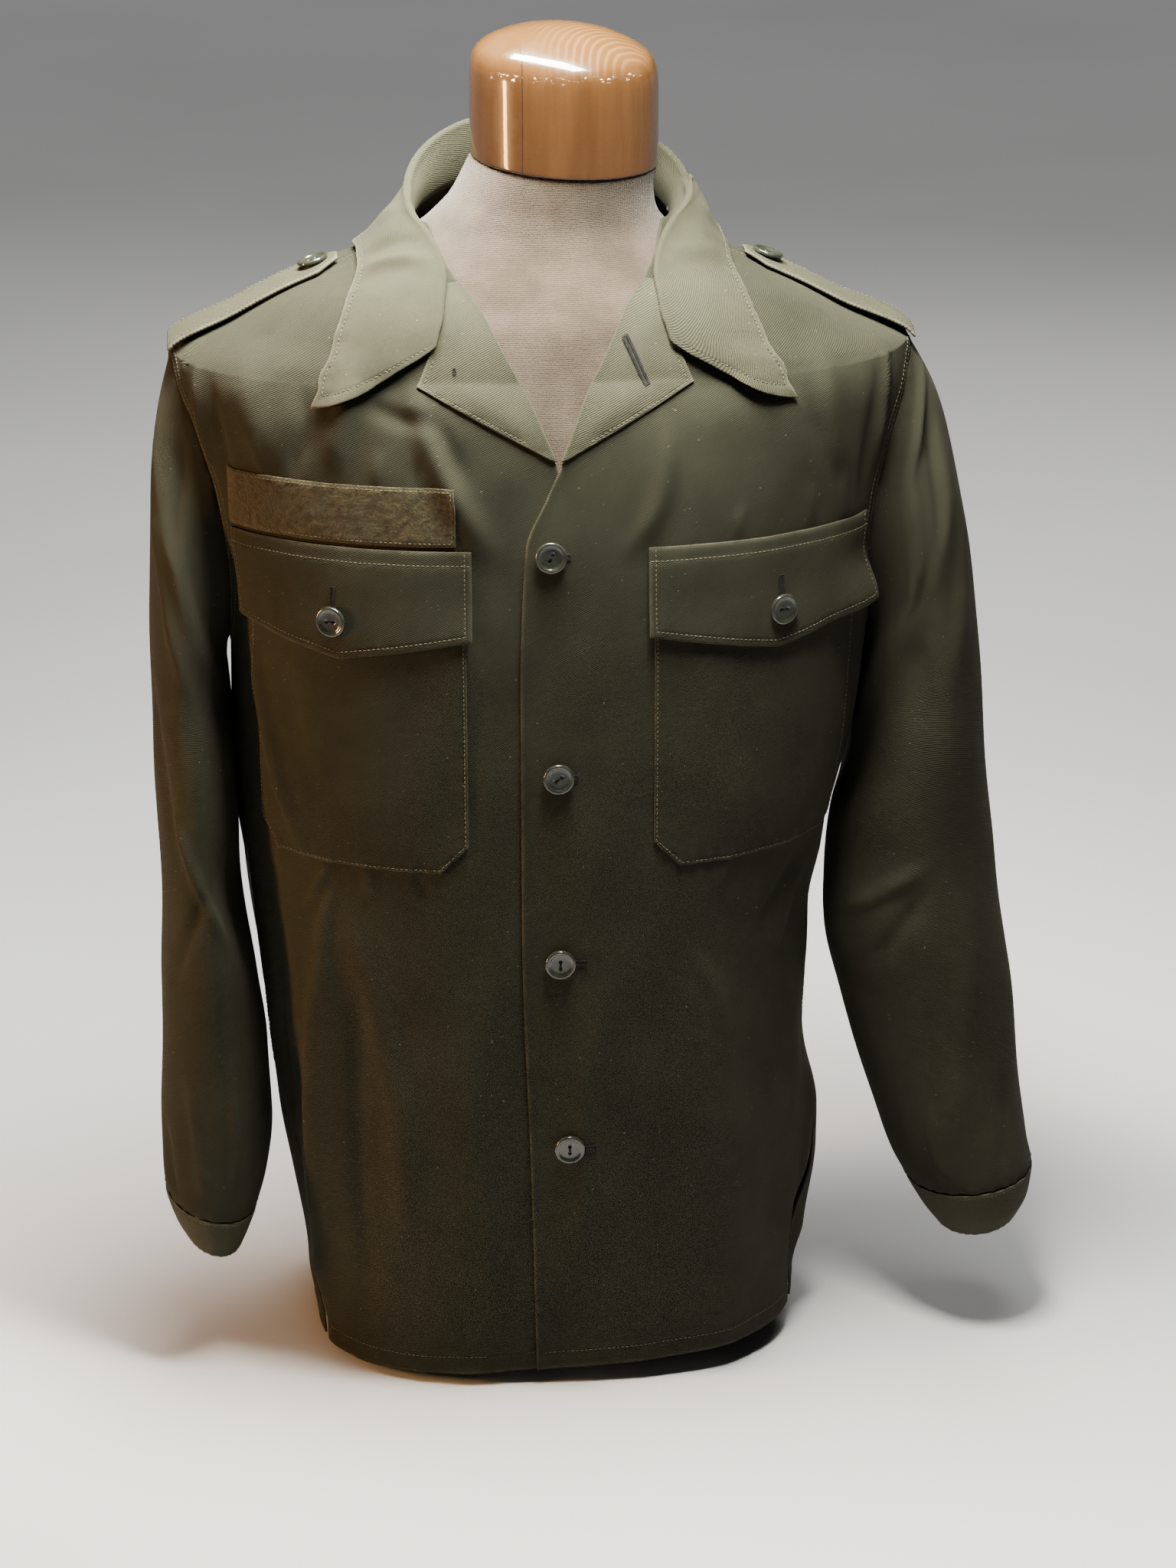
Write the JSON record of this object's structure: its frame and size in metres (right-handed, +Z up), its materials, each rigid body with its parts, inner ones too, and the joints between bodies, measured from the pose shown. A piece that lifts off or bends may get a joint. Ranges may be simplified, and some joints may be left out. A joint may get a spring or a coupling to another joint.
{
  "type": "field shirt on a dress form",
  "caption": "Long-sleeved olive field shirt with flap pockets, shoulder straps and an open collar, standing on a limbless dress form.",
  "frame": {"origin": "on the form's flat underside, below the shirt's centre line", "axes": "+Z up, -Y towards the wearer's front, +X towards the wearer's left"},
  "size_m": [0.6028, 0.2831, 0.9055],
  "materials": {
    "olive_twill": "dark olive-drab cotton twill with a fine diagonal and a faint satin sheen",
    "olive_twill_faced": "the same twill doubled, pressed and edge stitched",
    "loop_tape": "brown-olive loop tape with a mottled nap",
    "dark_green_button": "glossy dark grey-green plastic",
    "white_jersey": "white cotton jersey stretched over the form",
    "varnished_wood": "orange-brown wood under glossy varnish, chipped at the top edge"
  },
  "bodies": {
    "root": {"back": "olive_twill", "collar": "olive_twill_faced", "collar_stand": "olive_twill_faced", "cuff_button_left": "dark_green_button", "cuff_button_right": "dark_green_button", "cuff_left": "olive_twill_faced", "cuff_right": "olive_twill_faced", "flap_left": "olive_twill_faced", "flap_right": "olive_twill_faced", "form_neck_cap": "varnished_wood", "form_torso": "white_jersey", "front_button_1": "dark_green_button", "front_button_2": "dark_green_button", "front_button_3": "dark_green_button", "front_button_4": "dark_green_button", "front_left": "olive_twill", "front_right": "olive_twill", "lapel_left": "olive_twill_faced", "lapel_right": "olive_twill_faced", "loop_tape": "loop_tape", "pocket_button_left": "dark_green_button", "pocket_button_right": "dark_green_button", "pocket_left": "olive_twill", "pocket_right": "olive_twill", "shoulder_strap_left": "olive_twill_faced", "shoulder_strap_right": "olive_twill_faced", "sleeve_left": "olive_twill", "sleeve_right": "olive_twill", "strap_button_left": "dark_green_button", "strap_button_right": "dark_green_button"}
  },
  "joints": []
}
